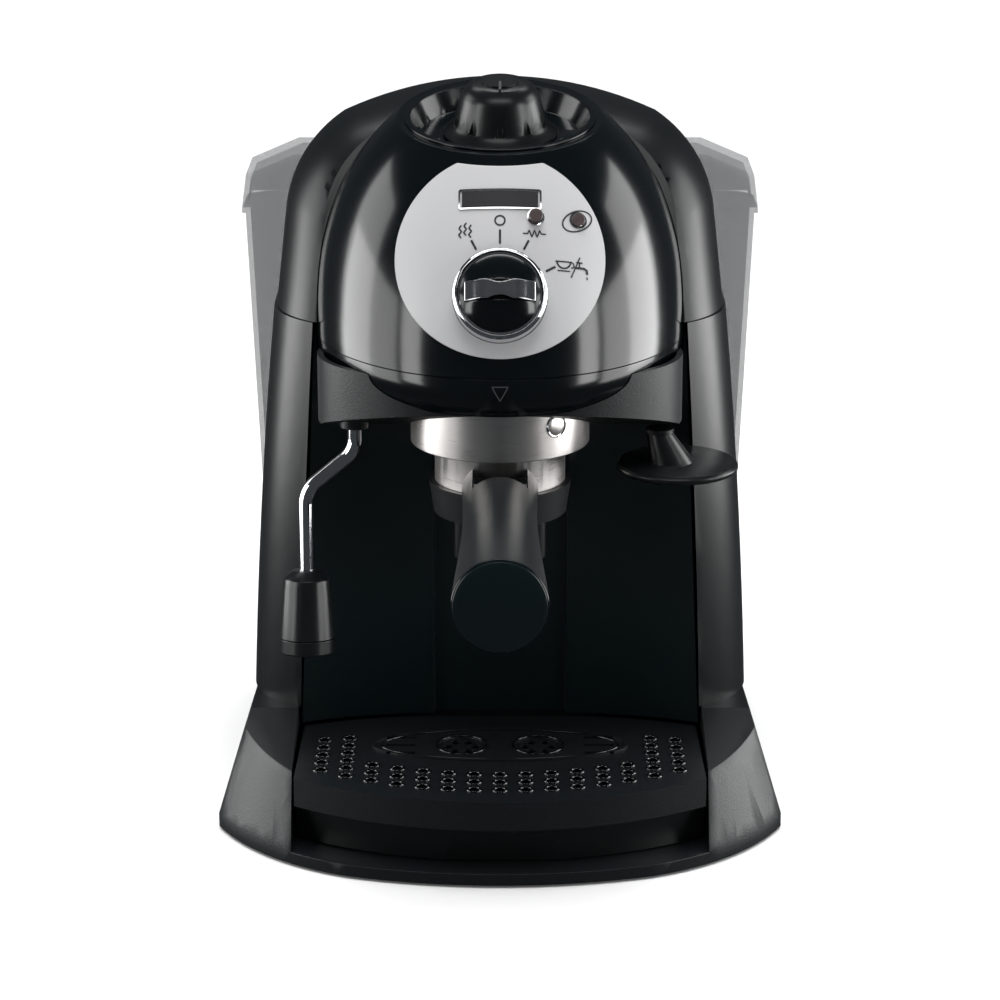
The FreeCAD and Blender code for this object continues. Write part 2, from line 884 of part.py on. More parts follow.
def below_dish(drop):
    """Everything below the plane of the knob dish's rim, lowered by a drop."""
    return on_knob(box(-150, 150, -150, 150, -250, -drop))


def dial_bore(radius, low=-40, high=30, x=0, y=0):
    return on_dial_at(cylinder(radius, low, high), x, y)


def on_dial_at(item, x, y):
    """Like on_dial, but off the axis by (x, y) in the dial's own plane."""
    return place(carried(item), x, y * cosine(size.dial_tilt) - size.dial_y,
                 size.dial_z + y * sine(size.dial_tilt), AXIS_X, size.dial_tilt)


def make_head():
    wall = size.head_wall
    full = common(common(head_loft(0), behind_arch(size.head_tuck)), below_dish(0))
    hollow = common(head_loft(-wall), below_dish(wall))
    shell = cut(full, hollow)
    over = box(-150, 150, -150, 150, size.head_seam_height, 400)
    under = box(-150, 150, -150, 150, 100, size.head_seam_height - 0.3)
    lamp_holes = [dial_bore(size.lamp_radius + 0.1, -30, 10, x, size.lamp_rise)
                  for x in (size.lamp_near_x, size.lamp_far_x)]
    dish_hole = on_knob(cylinder(size.dish_radius - 1.3, -40, 60))
    node("head_cover", cut(common(shell, over), dish_hole, dial_bore(5.3), *lamp_holes))
    pipe_hole = cylinder(size.pipe_radius + 0.5, 150, size.head_seam_height, -size.wand_x, -size.wand_y)
    node("head_skirt", cut(common(full, under), hollow, pipe_hole))

    # a thin plate that follows the head's surface,
    # and whose top edge is cut parallel to the dish's rim
    plate_zone = common(head_loft(size.plate_thickness), below_dish(size.plate_top_drop))
    disc = dial_bore(size.plate_radius, -40, 20, 0, size.plate_centre_rise)
    plate = cut(common(plate_zone, disc), head_loft(0.1), dial_bore(size.bezel_radius + 0.1))
    node("control_plate", cut(plate, *lamp_holes))


def make_underside():
    wall = size.thin_wall + 0.5
    floor, rim = size.underside_floor, size.head_rim_height - 0.3
    top = size.head_seam_height - size.underside_tuck

    def bowl(shrink, z0, z1):
        """The pan's oval outline, shrunk by a wall, between two heights."""
        outline = oval(size.underside_half_width - shrink, size.underside_half_depth - shrink,
                       -size.underside_centre, z0)
        return drawn_out(outline, AXIS_Z, z1 - z0)

    def nose(lift):
        """What is taken off below the rising front, lifted by a wall for the inside."""
        return across([
            (-size.group_y, floor - 1), (-size.group_y, floor + lift), (-95, rim + lift),
            (-115, rim + lift), (-115, floor - 1)], -100, 100)

    ring_room = cylinder(size.group_radius + size.fit_gap, 100, 250, 0, -size.group_y)
    wand_room = cylinder(size.wand_radius + 3.3, 100, 250, -size.wand_x, -size.wand_y)
    panel_room = panel_block(60, size.fit_gap, size.grid_top, size.head_seam_height)
    inside = cut(bowl(wall, floor + wall, top + 1), nose(wall))
    pan = cut(bowl(0, floor, top), inside)
    node("head_underside", cut(pan, nose(0), ring_room, wand_room, panel_room, head_loft(size.fit_gap)))


# ---------------------------------------------------------------- selector

def make_selector():
    # the ring is cut to the head's surface it stands on
    base = -6
    rim = size.bezel_radius
    bezel = on_dial(turned("bezel", [
        (rim - size.bezel_width, base), (rim, base), (rim, size.bezel_height - 1),
        (rim - 1, size.bezel_height), (rim - size.bezel_width, size.bezel_height)]))
    node("dial_bezel", cut(bezel, head_loft(0)))
    radius, top = size.dial_radius, size.dial_height
    crown = (square(radius) + square(top - 3)) / ((top - 3) * 2)
    knob = turned("dial", [(0, 0.8), (radius, 0.8), (radius, 3), (0, top, crown)])
    slot = box(-size.grip_length / 2 - 0.1, size.grip_length / 2 + 0.1, -size.grip_width / 2 - 0.1,
               size.grip_width / 2 + 0.1, 3.5, 20)
    bore = cylinder(size.spindle_radius + 0.05, -5, 3.2)
    node("dial_knob", on_dial(cut(knob, slot, bore)))
    half_length, half_width = size.grip_length / 2, size.grip_width / 2
    bar = deep([(-half_length, 3.5), (half_length, 3.5), (half_length, 5.4), (half_length - 6, top + 1),
                (6 - half_length, top + 1, 26), (-half_length, 5.4)], -half_width, half_width)
    waists = [cylinder(9, 0, 30, 0, (half_width + 7.8) * side) for side in (-1, 1)]
    node("dial_grip_bar", on_dial(cut(bar, *waists)))
    node("dial_spindle", on_dial(cylinder(size.spindle_radius, -18, 3.1)))
    case = fuse(cylinder(11, -20, -8), cylinder(5, -8, -1))
    node("selector_switch", on_dial(cut(case, cylinder(size.spindle_radius + 0.1, -18.3, 5))))

    # lamp lenses stand in the plate, their board lies behind them
    near = dial_bore(size.lamp_radius, -6, 1.2, size.lamp_near_x, size.lamp_rise)
    far = dial_bore(size.lamp_radius, -6 - size.lamp_far_depth, 1.2 - size.lamp_far_depth,
                    size.lamp_far_x, size.lamp_rise)
    node("indicator_lenses", group(near, far))
    board = on_dial(box(6, size.lamp_far_x + 4, 22, size.lamp_rise + 5, -20, -18.5))
    led_near = dial_bore(1.5, -19, -6.2, size.lamp_near_x, size.lamp_rise)
    led_far = dial_bore(1.5, -19, -6.2 - size.lamp_far_depth, size.lamp_far_x, size.lamp_rise)
    node("lamp_board", fuse(board, led_near, led_far))


# ---------------------------------------------------------------- steam knob and valve

def make_steam_knob():
    floor, rim = -size.dish_depth, size.dish_radius
    node("knob_dish", on_knob(turned("dish", [
        (6.3, floor - 2), (rim - 5, floor - 2), (rim - 1.5, -0.5), (rim - 1.5, 0), (rim, 0), (rim, 0.8),
        (rim - 2.4, 1), (rim - 6.5, floor), (6.3, floor)])))
    low = floor + 0.6
    flange, radius, upper = size.knob_flange_radius, size.knob_radius, size.knob_top_radius
    start = low + size.knob_flange_height
    top = size.knob_top
    shape = turned("fluted_knob", [
        (0, low), (flange, low), (flange, low + 1), (radius + 1, start), (radius, start + 1.5),
        (upper, top - 6), (upper - 5, top - 0.8, 9), (0, top - 0.8)])
    cap = cylinder(7, top - 1, top)
    flutes = []
    for index in range(int(SIZES["knob_flutes"])):
        turn = math.radians(360 * (index + 0.5) / SIZES["knob_flutes"])
        reach = size.knob_radius + size.knob_flute_radius * 0.2
        flutes.append(cylinder(size.knob_flute_radius, start + 1, 30,
                               reach * math.cos(turn), reach * math.sin(turn)))
    spindle_room = cylinder(size.spindle_radius + 0.05, -20, 4.2)
    node("steam_knob", on_knob(cut(fuse(shape, cap), *flutes, spindle_room)))
    node("steam_valve_spindle", on_knob(cylinder(size.spindle_radius, -38, 4)))
    outlet = place(cylinder(3.4, 0, 18), 0, 0, -30, AXIS_Y, -90)
    valve = fuse(cylinder(12.5, -46, -13), cylinder(6, -13, -7.5), outlet)
    node("steam_valve_body", on_knob(cut(valve, cylinder(size.spindle_radius + 0.1, -38.3, 0))))


# ---------------------------------------------------------------- group and boiler

def sector_ring(inner, outer, z0, z1, middle, span):
    """Part of a ring, centred on a bearing in degrees."""
    piece = cylinder(outer, z0, z1, sector=span)
    place(piece, 0, 0, z0, AXIS_Z, middle - span / 2)
    return cut(piece, cylinder(inner, z0 - 1, z1 + 1))


def make_group():
    bottom, top = size.group_bottom, size.group_top
    outer, inner = size.group_radius, size.group_radius - size.group_wall
    ring = on_group(turned("ring", rectangle(inner, outer, bottom, top)))
    lugs = []
    for index in range(3):
        lugs.append(on_group(sector_ring(size.lug_inner_radius, inner + 1, bottom, bottom + size.lug_height,
                                         90 + 120 * index, size.lug_angle)))
    node("group_ring", fuse(ring, *lugs))

    gasket_low = size.holder_top + 1.2
    seat = gasket_low + size.gasket_thickness
    node("group_gasket", on_group(turned("gasket", rectangle(23.5, 30, gasket_low, seat))))
    split, flange = size.boiler_split, size.boiler_flange_radius
    body = inner - 0.3
    low = turned("boiler", [
        (3, seat + 0.1), (body, seat + 0.1), (body, top + 0.2), (flange, top + 0.2), (flange, split - 0.6),
        (24, split - 0.6), (24, seat + 5), (3, seat + 5)])
    turns = [math.radians(45 + 90 * quarter) for quarter in range(4)]
    screws_at = [(37.5 * math.cos(turn), 37.5 * math.sin(turn)) for turn in turns]
    bores = [cylinder(2.2, top - 5, split + 15, x, y) for x, y in screws_at]
    node("boiler_lower", on_group(cut(low, *bores)))
    seal = turned("seal", rectangle(25, flange - 7, split - 0.6, split + 0.4))
    node("boiler_gasket", on_group(seal))
    high = turned("dome", [
        (24, split + 0.4), (flange, split + 0.4), (flange, split + 6), (size.boiler_radius, split + 6),
        (size.boiler_radius, size.boiler_top - 4), (size.boiler_radius - 4, size.boiler_top),
        (0, size.boiler_top), (0, size.boiler_top - 3), (24, size.boiler_top - 3)])
    bores = [cylinder(2.2, top - 5, split + 15, x, y) for x, y in screws_at]
    node("boiler_upper", on_group(cut(high, *bores)))
    screws = []
    for x, y in screws_at:
        head = cylinder(3.4, split + 6.1, split + 9.5, x, y)
        screws.append(fuse(cylinder(2, top + 0.4, split + 7, x, y), head))
    node("boiler_screws", on_group(group(*screws)))
    crown = size.boiler_top
    posts = []
    for side in (-1, 1):
        blade = box(20 * side - 0.4, 20 * side + 0.4, 5, 11, crown + 5, crown + 13)
        posts.append(fuse(cylinder(3, crown, crown + 5, 20 * side, 8), blade))
    node("heater_terminals", on_group(group(*posts)))
    discs = []
    for side in (-1, 1):
        flange_disc = cylinder(8, crown, crown + 2, 10 * side, -14)
        discs.append(fuse(flange_disc, cylinder(6, crown + 2, crown + 9, 10 * side, -14)))
    node("thermostats", on_group(group(*discs)))

    screen_top = seat
    node("shower_screen", on_group(turned("screen", [
        (2.3, screen_top - 6), (22, screen_top - 6), (22, screen_top), (21, screen_top), (21, screen_top - 5),
        (2.3, screen_top - 5)])))
    node("shower_screw", on_group(fuse(cylinder(4, screen_top - 8.2, screen_top - 6.1),
                                       cylinder(2, screen_top - 6.1, screen_top + 4.5))))


# ---------------------------------------------------------------- filter holder

def make_filter_holder():
    top, bottom, outer = size.holder_top, size.holder_bottom, size.holder_radius
    inner = outer - size.holder_wall + 1
    flange, step = size.holder_flange_radius, size.collar_top
    narrow = 24
    cup = turned("cup", [
        (3.2, bottom), (narrow, bottom), (narrow, step), (outer, step), (outer, top - 5), (flange, top - 4),
        (flange, top), (inner, top), (inner, step + 2), (narrow - 2.4, step - 1), (narrow - 2.4, bottom + 2),
        (3.2, bottom + 2)])
    ears = [sector_ring(flange - 1, size.ear_radius, top - 3, top, 90 + 120 * index, size.ear_angle)
            for index in range(3)]
    stud = place(cylinder(4, 0, 30), 0, -22.4, bottom + 7, AXIS_X, 90)
    node("filter_holder", on_group(fuse(cup, *ears, stud)))

    bore = inner - 0.2
    node("filter_basket", on_group(turned("basket", [
        (0, step + 3), (bore - 3, step + 3), (bore, step + 6), (bore, top + 0.1),
        (flange - 1.5, top + 0.1), (flange - 1.5, top + 0.9), (bore - 0.6, top + 0.9),
        (bore - 0.6, step + 6.3), (bore - 3.3, step + 3.6), (0, step + 3.6)])))
    ring_low = size.collar_bottom
    stud_room = place(cylinder(4.1, 0, 60), 0, -10, bottom + 7, AXIS_X, 90)
    collar = turned("collar", [(narrow + 0.1, ring_low), (size.collar_radius - 1.9, ring_low),
                               (size.collar_radius, step - 0.1), (narrow + 0.1, step - 0.1)])
    node("filter_collar", on_group(cut(collar, stud_room)))

    spacing, tip = size.spout_spacing, size.spout_bottom
    bar_low = bottom - 13
    neck = cylinder(7, bar_low, bottom - 0.1)
    stem = cylinder(3.1, bottom - 0.1, bottom + 1.9)
    bar = box(-spacing, spacing, -4.5, 4.5, bar_low, bar_low + 8)
    nozzles, bores = [], [cylinder(2, bar_low + 4, bottom + 5)]
    bores.append(place(cylinder(2, 0, spacing * 2), -spacing, 0, bar_low + 4, AXIS_Y, 90))
    for side in (-1, 1):
        nozzles.append(cylinder(4.5, tip, bar_low + 8, spacing * side, 0))
        bores.append(cylinder(2.6, tip - 1, bar_low + 5, spacing * side, 0))
    node("spout", on_group(cut(fuse(neck, stem, bar, *nozzles), *bores)))


def handle_section(y, half_width, half_height, z):
    ring = doc.addObject("Part::Ellipse", "section")
    wide = number(half_width) >= number(half_height)
    if wide:
        bind(ring, MajorRadius=half_width, MinorRadius=half_height)
        return place(ring, 0, y, z, AXIS_X, 90)
    bind(ring, MajorRadius=half_height, MinorRadius=half_width)
    # long axis upright
    ring.Placement = Placement(Vector(0, number(y), number(z)), Rotation(AXIS_X, 90) * Rotation(AXIS_Z, 90))
    ring.setExpression("Placement.Base.y", written(y))
    ring.setExpression("Placement.Base.z", written(z))
    return ring


def make_handle():
    start_z = size.collar_top + 0.4
    start_y = 78
    span = size.handle_end - start_y

    def along(share):
        return -(start_y + span * share), start_z - size.handle_drop * share

    neck, waist, end = size.handle_neck_half_width, size.handle_waist_half_width, size.handle_end_radius
    stations = [(0, neck, neck - 0.4), (0.22, waist, waist - 0.2), (0.5, waist + 0.6, waist + 0.4),
                (0.8, end - 1, end - 1.1), (0.975, end, end - 0.05)]
    sections = []
    for share, half_width, half_height in stations:
        y, z = along(share)
        sections.append(handle_section(y, half_width, half_height, z))
    cup_room = on_group(turned("cup_room", [
        (0, 120), (size.collar_radius + 0.3, 120), (size.collar_radius + 0.3, size.collar_top + 0.2),
        (size.holder_radius + 0.4, size.collar_top + 0.2), (size.holder_radius + 0.4, 180), (0, 180)]))
    window_back = size.group_y + size.holder_radius + size.window_depth
    floor = size.collar_top - 1
    window = box(-size.window_half_width, size.window_half_width, -window_back, -60, floor, 180)
    stud_room = place(cylinder(4.2, 0, 60), 0, -60, size.holder_bottom + 7, AXIS_X, 90)
    pin_room = place(cylinder(1.6, 0, 26), -13, 1.2 - window_back + 3.5, floor + 3.4, AXIS_Y, 90)
    node("handle", cut(loft(sections), cup_room, window, stud_room, pin_room))
    end_y, end_z = along(0.976)
    rim, edge, rise = end - 0.7, 2, 1.2
    crown = (square(rim) + rise * rise) / (rise * 2)
    cap = turned("end_cap", [(0, 0), (end - 0.1, 0), (rim, edge), (0, edge + rise, crown)])
    node("handle_end_cap", place(cap, 0, end_y, end_z, AXIS_X, 90))

    # the filter clip rocks on a pin across the window
    hinge_y, hinge_z = 4.7 - window_back, floor + 3.4
    half = size.window_half_width - 0.4
    lever = across([
        (hinge_y - 2.2, hinge_z + 2), (hinge_y + 2.4, hinge_z - 2.2), (hinge_y + 8, hinge_z + 1),
        (hinge_y + 8.6, hinge_z + 4, 8), (hinge_y + 5.5, hinge_z + 7), (hinge_y + 0.5, hinge_z + 6)],
        -half, half)
    pin = place(cylinder(1.5, 0, 25), -12.5, hinge_y, hinge_z, AXIS_Y, 90)
    node("filter_clip", fuse(lever, pin))


# ---------------------------------------------------------------- tamper and wand

def make_tamper():
    low = size.tamper_height
    high = low + size.tamper_thickness
    disc = turned("disc", [
        (0, low), (size.tamper_radius - 1.2, low), (size.tamper_radius, low + 1.2),
        (size.tamper_radius, high - 1.2), (size.tamper_radius - 1.2, high), (0, high)])
    place(disc, size.tamper_x, -size.tamper_y, 0)
    foot = bind(doc.addObject("Part::Circle", "foot"), Radius=9)
    place(foot, size.tamper_x - 2, -size.tamper_y, high - 0.5)
    head = bind(doc.addObject("Part::Circle", "head"), Radius=5)
    place(head, size.tamper_stalk_x, -size.tamper_y, size.underside_floor - 1.6)
    seat = size.underside_floor
    collar = cylinder(5.6, seat - 1.8, seat, size.tamper_stalk_x, -size.tamper_y)
    node("tamper", fuse(disc, loft([foot, head]), collar))


def make_wand():
    x, y, r = size.wand_x, size.wand_y, size.wand_radius
    lean_y, lean_z = sine(size.wand_lean), cosine(size.wand_lean)
    knee_z, elbow_z = 162, 146
    elbow = (-x - size.wand_reach, -y - 2, elbow_z)
    run = 52
    end = (elbow[0], elbow[1] - lean_y * run, elbow[2] - lean_z * run)
    path = [(-x, -y, 185), (-x, -y, knee_z), elbow, end]
    node("wand_tube", tube(path, 11, r))

    def on_wand(item, down):
        """Lay a piece drawn about Z on the wand's lower run, its foot this far down it."""
        return place(carried(item), elbow[0], elbow[1] - lean_y * down, elbow[2] - lean_z * down,
                     AXIS_X, -size.wand_lean)

    node("wand_tip", on_wand(cut(cylinder(r, 0, 5), cylinder(1, -1, 6)), run + 5.1))
    length, ring = size.frother_length, size.frother_ring_height
    top_r, low_r = size.frother_top_radius, size.frother_radius
    foot = 65.5
    node("frother_sleeve", on_wand(turned("sleeve", [
        (5, ring + 0.2), (low_r - 0.4, ring + 0.2), (top_r, length - 3.4), (top_r - 1, length - 2.4),
        (5.4, length), (r + 0.1, length), (r + 0.1, length - 5), (5, length - 8)]), foot))
    node("frother_ring", on_wand(turned("ring", [
        (5, 0), (low_r - 0.9, 0), (low_r - 0.4, 0.5), (low_r - 0.4, ring), (5, ring)]), foot))
    low, step, high = size.underside_floor, size.underside_floor + 9, size.underside_floor + 11.5
    bush = turned("bush", [
        (r + 0.1, low), (r + 3, low), (r + 3, step), (r + 5, step), (r + 5, high), (r + 0.1, high)])
    node("wand_bush", place(bush, -x, -y, 0))
    pipe = [(-x, -y, 186), (-x, -y, 207), (-x + 7, -y + 22, 238), (-34, -24, 258), (-19, -19, 261.6)]
    node("steam_pipe", tube(pipe, 9, size.pipe_radius))


# ---------------------------------------------------------------- water tank

def tank_outline(half_width, shrink):
    front, rear = size.tank_front + shrink, size.base_rear - 0.4 - shrink
    wide = half_width - shrink
    radius = 12 - shrink
    return [(-wide, front), (wide, front), (wide, rear - radius), (wide - radius, rear, radius),
            (radius - wide, rear), (-wide, rear - radius, radius)]


def make_tank():
    wall, rim = size.thin_wall, size.tank_rim
    floor = size.deck_height + 0.5
    low, high = size.tank_half_width_low, size.tank_half_width_top
    outer = loft([plan(tank_outline(low, 0), floor), plan(tank_outline(high, 0), rim)], True)
    inner = loft([plan(tank_outline(low, wall), floor + wall), plan(tank_outline(high, wall), rim + 1)], True)
    bead = cut(raised(tank_outline(high + size.tank_bead, 0), rim - 2, rim),
               raised(tank_outline(high, wall), rim - 5, rim + 1))
    spigot = cylinder(6.5, floor - 8, floor + 1, size.valve_x, size.valve_y)
    bore = cylinder(4.5, floor - 9, floor + 5, size.valve_x, size.valve_y)
    # a cross in the outlet guides the valve's stem and holds its spring
    x, y = size.valve_x, size.valve_y
    bars = [box(x - 5, x + 5, y - 0.8, y + 0.8, floor, floor + 1.2),
            box(x - 0.8, x + 0.8, y - 5, y + 5, floor, floor + 1.2)]
    cross = cut(fuse(*bars), cylinder(1.8, floor - 1, floor + 3, x, y))
    node("water_tank", fuse(cut(fuse(cut(outer, inner), spigot, bead), bore), cross))

    edge = high + size.tank_bead
    base = rim + 0.4
    front, rear = size.tank_front, size.base_rear - 0.4

    def lid_block(shrink, y0, y1, low_z):
        return deep([
            (shrink - edge, low_z), (edge - shrink, low_z),
            (edge - 2 - shrink, size.lid_edge_height - shrink),
            (size.lid_flat_half_width - shrink, size.lid_top - shrink),
            (shrink - size.lid_flat_half_width, size.lid_top - shrink),
            (shrink - edge + 2, size.lid_edge_height - shrink)], y0, y1)

    lid = cut(lid_block(0, front, rear, base), lid_block(wall, front + wall, rear - wall, base - 1))
    node("tank_lid", lid)

    stem = fuse(cylinder(1.6, floor - 6, floor + 3.2, x, y),
                cylinder(6.4, floor + wall + 0.1, floor + wall + 1.6, x, y),
                cylinder(2.6, floor - 6, floor - 4.8, x, y))
    node("tank_valve", stem)
    # the spring is drawn at its shortest length, with the valve fully lifted
    coil = turned("coil", rectangle(1.9, 2.5, floor - 2.7, floor - 0.05))
    node("tank_valve_spring", place(coil, x, y, 0))
    socket = turned("socket", [
        (6.8, size.deck_height - 8.5), (8.6, size.deck_height - 8.5), (8.6, size.deck_height),
        (11, size.deck_height), (11, size.deck_height + 0.4), (6.8, size.deck_height + 0.4)])
    pan = cylinder(8.6, size.deck_height - 11, size.deck_height - 8.5, x, y)
    pan = cut(pan, cylinder(2, 20, 50, x, y))
    node("tank_socket", fuse(place(socket, x, y, 0), pan))


# ---------------------------------------------------------------- pump and services

def on_pump(item):
    """Lay a piece drawn about Z along the pump's axis, Z towards +X."""
    return place(carried(item), 0, size.pump_y, size.pump_z, AXIS_Y, 90)


def make_pump():
    half, r = size.pump_length / 2, size.pump_radius
    bore = size.piston_radius + 0.1
    stroke = size.piston_length + size.piston_travel + 0.6
    case = turned("case", [
        (0, -half), (9, -half), (9, -half + 8), (r, -half + 8),
        (r, half - 8), (9, half - 8), (9, half), (0, half)])
    room = cylinder(bore, -stroke / 2, stroke / 2)
    node("pump_body", on_pump(cut(case, room)))
    start = 0.3 - stroke / 2
    node("pump_piston", on_pump(cylinder(size.piston_radius, start, start + size.piston_length)))
    mounts = []
    for side in (-1, 1):
        x = (half - 4) * side
        block = box(x - 3, x + 3, size.pump_y - 9, size.pump_y + 9, size.deck_height + 0.1, size.pump_z)
        mounts.append(cut(block, place(cylinder(9.1, 0, 20), x - 10, size.pump_y, size.pump_z, AXIS_Y, 90)))
    node("pump_mounts", group(*mounts))
    suction = [(size.valve_x, size.valve_y, size.deck_height - 11.1), (size.valve_x, size.valve_y, 18),
               (size.valve_x, size.pump_y, 18), (size.valve_x, size.pump_y, size.pump_z),
               (half + 0.2, size.pump_y, size.pump_z)]
    node("suction_hose", tube(suction, 11, size.hose_radius))
    pressure = [(-half - 0.2, size.pump_y, size.pump_z), (-62, size.pump_y, size.pump_z),
                (-62, size.pump_y, 190), (-40, 5, 232), (-6, -50, size.boiler_top + 20),
                (-6, -50, size.boiler_top + 0.2)]
    node("pressure_hose", tube(pressure, 7, size.pipe_radius))
    gland = turned("gland", [
        (2.8, -7), (7.5, -7), (7.5, -3.3), (5, -3.3), (5, 0.2), (8, 0.2), (6, 3), (2.8, 3)])
    node("cord_inlet", place(gland, -70, size.base_rear, 24, AXIS_X, -90))


# ---------------------------------------------------------------- build

def make_machine():
    head_clear = common(head_loft(size.fit_gap), behind_arch(size.head_tuck + 1))
    make_base()
    make_tray()
    make_grid()
    make_side_housing(head_clear)
    make_top_cover(head_clear)
    make_splash_panel()
    make_head()
    make_underside()
    make_selector()
    make_steam_knob()
    make_group()
    make_filter_holder()
    make_handle()
    make_tamper()
    make_wand()
    make_tank()
    make_pump()
    doc.recompute()


def check_and_export():
    faults = [item.Name for item in doc.Objects if "Invalid" in item.State or "Error" in item.State]
    if faults:
        raise RuntimeError("failed objects: " + ", ".join(faults))
    for item in nodes:
        if item.Shape.isNull() or not item.Shape.isValid() or not item.Shape.Solids:
            raise RuntimeError(item.Label + " is not a valid solid")
    os.makedirs("parts", exist_ok=True)
    for item in nodes:
        item.Shape.exportStep(f"parts/{item.Label}.step")
        print(item.Label, len(item.Shape.Solids), round(item.Shape.Volume))


make_machine()
check_and_export()
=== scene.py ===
"""Espresso machine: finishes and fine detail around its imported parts. Metres."""
import json
import math

import bmesh
import bpy
from mathutils import Matrix, Vector
from mathutils.bvhtree import BVHTree


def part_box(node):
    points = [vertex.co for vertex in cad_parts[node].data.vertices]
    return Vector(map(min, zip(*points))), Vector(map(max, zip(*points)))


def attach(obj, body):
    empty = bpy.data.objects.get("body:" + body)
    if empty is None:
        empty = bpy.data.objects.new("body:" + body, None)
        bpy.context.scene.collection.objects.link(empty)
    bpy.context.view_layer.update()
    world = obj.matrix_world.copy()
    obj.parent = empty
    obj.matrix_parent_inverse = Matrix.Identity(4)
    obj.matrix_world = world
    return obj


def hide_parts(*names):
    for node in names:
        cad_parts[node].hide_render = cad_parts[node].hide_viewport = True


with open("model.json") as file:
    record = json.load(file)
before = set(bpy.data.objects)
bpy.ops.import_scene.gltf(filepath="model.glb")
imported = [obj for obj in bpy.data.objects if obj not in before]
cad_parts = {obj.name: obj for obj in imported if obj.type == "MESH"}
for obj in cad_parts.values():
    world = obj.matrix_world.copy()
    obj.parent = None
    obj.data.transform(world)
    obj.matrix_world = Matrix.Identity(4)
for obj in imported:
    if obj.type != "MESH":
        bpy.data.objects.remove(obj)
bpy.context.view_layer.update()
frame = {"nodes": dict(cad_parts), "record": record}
nodes = frame["nodes"]
record = frame["record"]
body_of = {node: body for body, members in record["behaviour"]["bodies"].items() for node in members}
slot_of = {part["node"]: part["material_slot"] for part in record["subparts"]}

MM = 0.001
FULL_TURN = math.tau
STANDING = Matrix.Rotation(math.pi / 2, 4, "X")


# ---------------------------------------------------------------- camera and studio

CAMERA_PLACE = (0, -1.3, 0.523)
CAMERA_TILT = math.radians(72.9)
CAMERA_LENS = 117.07

bpy.context.scene.view_settings.view_transform = "Standard"

camera_data = bpy.data.cameras.new("camera")
camera_data.lens = CAMERA_LENS
camera = bpy.data.objects.new("camera", camera_data)
camera.location = CAMERA_PLACE
camera.rotation_euler = (CAMERA_TILT, 0, 0)
bpy.context.collection.objects.link(camera)
bpy.context.scene.camera = camera


def soft_light(name, place, aim, width, height, power):
    """A rectangular softbox that faces a point."""
    data = bpy.data.lights.new(name, "AREA")
    data.shape = "RECTANGLE"
    data.size, data.size_y = width, height
    data.energy = power
    light = bpy.data.objects.new(name, data)
    light.location = place
    light.rotation_euler = (Vector(aim) - Vector(place)).to_track_quat("-Z", "Y").to_euler()
    bpy.context.collection.objects.link(light)


# ---------------------------------------------------------------- finishes

class Value:
    """A shader socket that Python's own signs work on."""

    def __init__(self, finish, socket):
        self.finish, self.socket = finish, socket

    def worked(self, operation, first, second):
        return self.finish.node("ShaderNodeMath", {"operation": operation}, {0: first, 1: second})

    def __add__(self, other):
        return self.worked("ADD", self, other)

    def __radd__(self, other):
        return self.worked("ADD", other, self)

    def __mul__(self, other):
        return self.worked("MULTIPLY", self, other)

    def __rmul__(self, other):
        return self.worked("MULTIPLY", other, self)


class Finish:
    """One material, built from its nodes."""

    def __init__(self, name):
        self.material = bpy.data.materials.new(name)
        self.material.use_nodes = True
        self.tree = self.material.node_tree
        self.tree.nodes.clear()
        self.shader = self.tree.nodes.new("ShaderNodeBsdfPrincipled")
        output = self.tree.nodes.new("ShaderNodeOutputMaterial")
        self.tree.links.new(self.shader.outputs[0], output.inputs["Surface"])

    def feed(self, socket, value):
        if isinstance(value, Value):
            self.tree.links.new(value.socket, socket)
        else:
            socket.default_value = value

    def node(self, kind, settings=None, inputs=None, output=0):
        """Add a node: its settings first, then the values or links of its sockets."""
        item = self.tree.nodes.new(kind)
        for name, value in (settings or {}).items():
            setattr(item, name, value)
        for name, value in (inputs or {}).items():
            self.feed(item.inputs[name], value)
        return Value(self, item.outputs[output])

    def set(self, **values):
        """Set the main shader's sockets; an underscore stands for a space."""
        for name, value in values.items():
            self.feed(self.shader.inputs[name.replace("_", " ")], value)

    def place(self, stretch=(1, 1, 1)):
        """The piece's own coordinates, stretched along its axes."""
        spot = self.node("ShaderNodeTexCoord", output="Object")
        return self.node("ShaderNodeMapping", None, {"Vector": spot, "Scale": stretch})

    def noise(self, scale, detail=3.0, stretch=(1, 1, 1)):
        return self.node("ShaderNodeTexNoise", None,
                         {"Vector": self.place(stretch), "Scale": scale, "Detail": detail})

    def shades(self, dark, light, amount):
        """A colour between two, by an amount."""
        return self.node("ShaderNodeMix", {"data_type": "RGBA"},
                         {"Factor": amount, 6: (*dark, 1), 7: (*light, 1)}, output=2)

    def bump(self, height, depth):
        return self.node("ShaderNodeBump", None, {"Height": height, "Distance": depth, "Strength": 1.0})


def plastic(name, colour, roughness, grain=0.0, depth=0.0, spread=0.12, coat=0.0):
    """Moulded plastic: slow changes of tone and gloss, and a fine moulded grain."""
    finish = Finish(name)
    slow = finish.noise(22.0, 4.0)
    dark = tuple(part * (1 - spread) for part in colour)
    light = tuple(part * (1 + spread) for part in colour)
    smear = finish.noise(160.0, 5.0)
    finish.set(Base_Color=finish.shades(dark, light, slow), Roughness=roughness - 0.02 + smear * 0.04,
               Coat_Weight=coat, Coat_Roughness=0.1)
    if grain:
        finish.set(Normal=finish.bump(finish.noise(grain, 2.0), depth))
    return finish.material


METAL_SPREAD = 0.04


